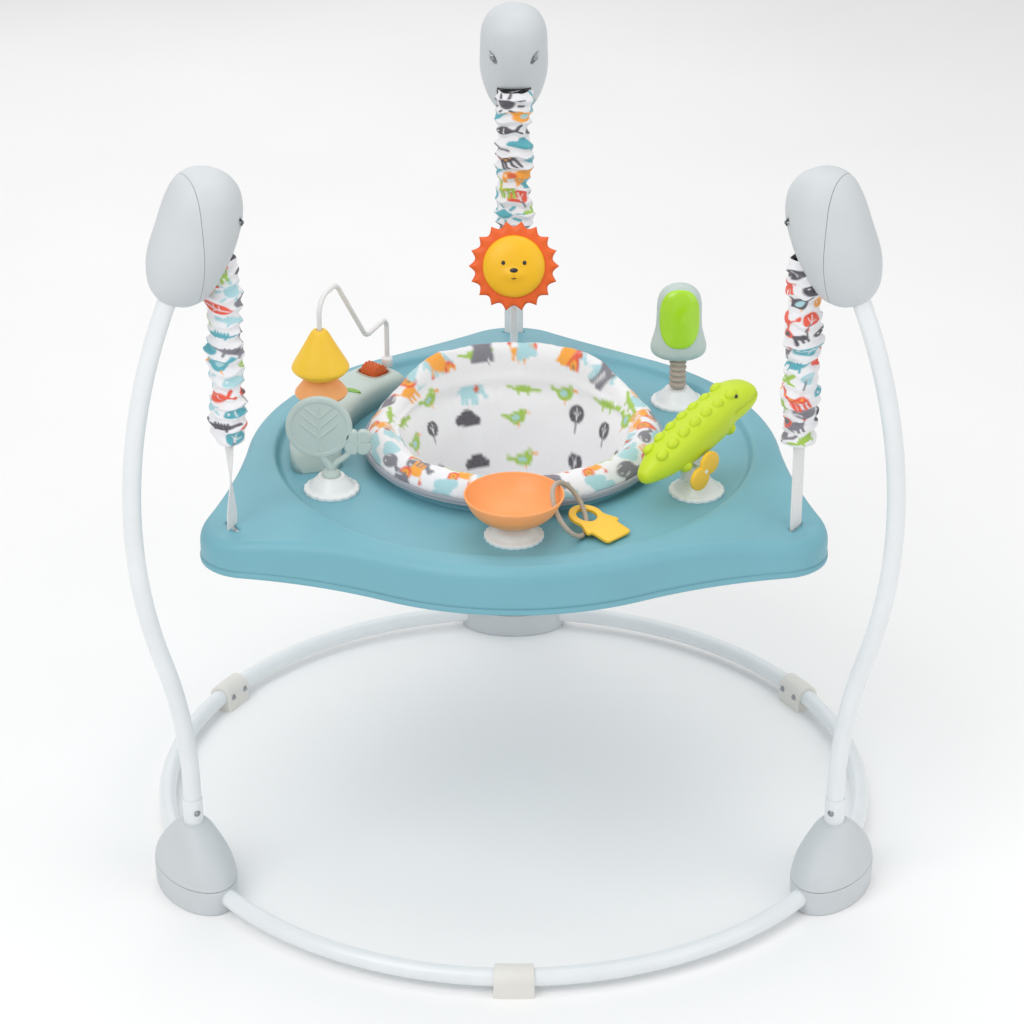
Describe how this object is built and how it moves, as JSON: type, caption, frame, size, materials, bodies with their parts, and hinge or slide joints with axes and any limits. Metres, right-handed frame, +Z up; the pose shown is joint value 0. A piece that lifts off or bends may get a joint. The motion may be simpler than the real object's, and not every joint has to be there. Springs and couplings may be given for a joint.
{
  "type": "activity jumper",
  "caption": "Free-standing baby activity jumper: round tube floor frame with bowed legs, sprung play tray with moving toys and a padded seat that turns.",
  "frame": {"origin": "centre of the bottom of the object's box, on the floor", "axes": "+Z up, +Y from the front of the jumper to the leg behind the seat, +X to the right as seen from the front"},
  "size_m": [0.922, 0.9885, 0.938],
  "materials": {
    "frame_steel": "white powder coat on steel tube",
    "coupler_plastic": "fine moulded plastic",
    "grey_plastic": "fine spark texture",
    "screw_steel": "zinc plated",
    "spring_steel": "drawn spring wire",
    "sleeve_cloth": "printed woven cotton blend",
    "strap_web": "woven webbing",
    "seat_grey": "moulded",
    "tray_teal": "fine texture",
    "base_white": "semi gloss",
    "toy_sage": "satin",
    "wire_white": "coated wire",
    "leaf_green": "satin",
    "bowl_peach": "satin",
    "seat_cloth": "printed padded fabric",
    "cone_peach": "satin",
    "cone_yellow": "satin",
    "roller_rust": "relief textured",
    "lion_orange": "satin",
    "lion_yellow": "satin",
    "neck_beige": "soft",
    "panel_green": "gloss",
    "croc_lime": "satin",
    "disc_yellow": "satin"
  },
  "bodies": {
    "frame": {"floor_tube_front_left": "frame_steel", "floor_tube_front_right": "frame_steel", "floor_tube_right_front": "frame_steel", "floor_tube_right_rear": "frame_steel", "floor_tube_left_rear": "frame_steel", "floor_tube_left_front": "frame_steel", "floor_coupler_front": "coupler_plastic", "floor_coupler_right": "coupler_plastic", "floor_coupler_left": "coupler_plastic", "foot_cover_left": "grey_plastic", "foot_cover_right": "grey_plastic", "foot_cover_rear": "grey_plastic", "foot_bases": "grey_plastic", "leg_sockets": "frame_steel", "leg_tube_left": "frame_steel", "leg_tube_right": "frame_steel", "leg_tube_rear": "frame_steel", "head_shell_left": "grey_plastic", "head_shell_right": "grey_plastic", "head_shell_rear": "grey_plastic", "head_cover_left": "grey_plastic", "head_cover_right": "grey_plastic", "head_cover_rear": "grey_plastic", "frame_screws": "screw_steel", "head_screws": "screw_steel", "anchor_pins": "screw_steel", "extension_springs": "spring_steel", "spring_cover_left": "sleeve_cloth", "spring_cover_right": "sleeve_cloth", "spring_cover_rear": "sleeve_cloth"},
    "tray": {"strap_left": "strap_web", "strap_right": "strap_web", "strap_rear": "strap_web", "strap_bars": "seat_grey", "play_tray": "tray_teal", "toy_bases": "base_white", "bead_platform": "toy_sage", "bead_wire": "wire_white", "leaf_insert": "leaf_green", "roller_axle": "screw_steel", "lion_stalk": "base_white", "bowl": "bowl_peach", "croc_bridge": "base_white"},
    "seat": {"seat_ring": "seat_grey", "seat_glides": "base_white", "seat_fabric": "seat_cloth"},
    "tree": {"tree_toy": "toy_sage"},
    "peach_bead": {"peach_cone": "cone_peach"},
    "yellow_bead": {"yellow_cone": "cone_yellow"},
    "drum": {"roller": "roller_rust"},
    "lion": {"lion_mane": "lion_orange", "lion_face": "lion_yellow"},
    "bird": {"bird_neck": "neck_beige", "bird_body": "toy_sage", "bird_panel": "panel_green"},
    "croc": {"croc_body": "croc_lime", "croc_pin": "screw_steel"},
    "spinner": {"croc_spinner": "disc_yellow"},
    "link": {"bowl_ring": "neck_beige"},
    "tag": {"ring_tag": "disc_yellow"}
  },
  "joints": [
    {"name": "bounce", "type": "slide", "parent": "frame", "child": "tray", "axis": [0, 0, 1], "range_m": [-0.08, 0.03], "stiffness_N_per_m": 1500, "springref_m": 0.03, "deforming": ["extension_springs", "spring_cover_left", "spring_cover_right", "spring_cover_rear"]},
    {"name": "seat_turn", "type": "hinge", "parent": "tray", "child": "seat", "pos_m": [0, -0.02829, 0.5], "axis": [0, 0, 1], "continuous": true},
    {"name": "tree_swivel", "type": "hinge", "parent": "tray", "child": "tree", "pos_m": [-0.2202, -0.13569, 0.511], "axis": [0, 0, 1], "range_deg": [-40, 40]},
    {"name": "peach_slide", "type": "slide", "parent": "tray", "child": "peach_bead", "axis": [0, 0, 1], "range_m": [0, 0.008]},
    {"name": "yellow_slide", "type": "slide", "parent": "peach_bead", "child": "yellow_bead", "axis": [0, 0, 1], "range_m": [0, 0.008]},
    {"name": "roller_spin", "type": "hinge", "parent": "tray", "child": "drum", "pos_m": [-0.17991, 0.13948, 0.522], "axis": [-0.7314, 0.682, 0], "continuous": true},
    {"name": "lion_spin", "type": "hinge", "parent": "tray", "child": "lion", "pos_m": [0, 0.18771, 0.65], "axis": [0, -0.9511, 0.309], "continuous": true},
    {"name": "bird_rock", "type": "hinge", "parent": "tray", "child": "bird", "pos_m": [0.20888, 0.11797, 0.515], "axis": [0, 1, 0], "range_deg": [-12, 12], "stiffness_Nm_per_rad": 1.2},
    {"name": "croc_rock", "type": "hinge", "parent": "tray", "child": "croc", "pos_m": [0.21735, -0.1375, 0.555], "axis": [0.682, -0.7314, 0], "range_deg": [-7, 7]},
    {"name": "spinner_spin", "type": "hinge", "parent": "tray", "child": "spinner", "pos_m": [0.22679, -0.17109, 0.534], "axis": [0.682, -0.7314, 0], "continuous": true},
    {"name": "ring_swing", "type": "hinge", "parent": "tray", "child": "link", "pos_m": [0.049, -0.28029, 0.5335], "axis": [-0.0629, -0.9436, -0.325], "range_deg": [0, 10]},
    {"name": "tag_swing", "type": "hinge", "parent": "link", "child": "tag", "pos_m": [0.085, -0.23229, 0.504], "axis": [0.08, -0.8503, -0.5202], "range_deg": [0, 30]}
  ]
}
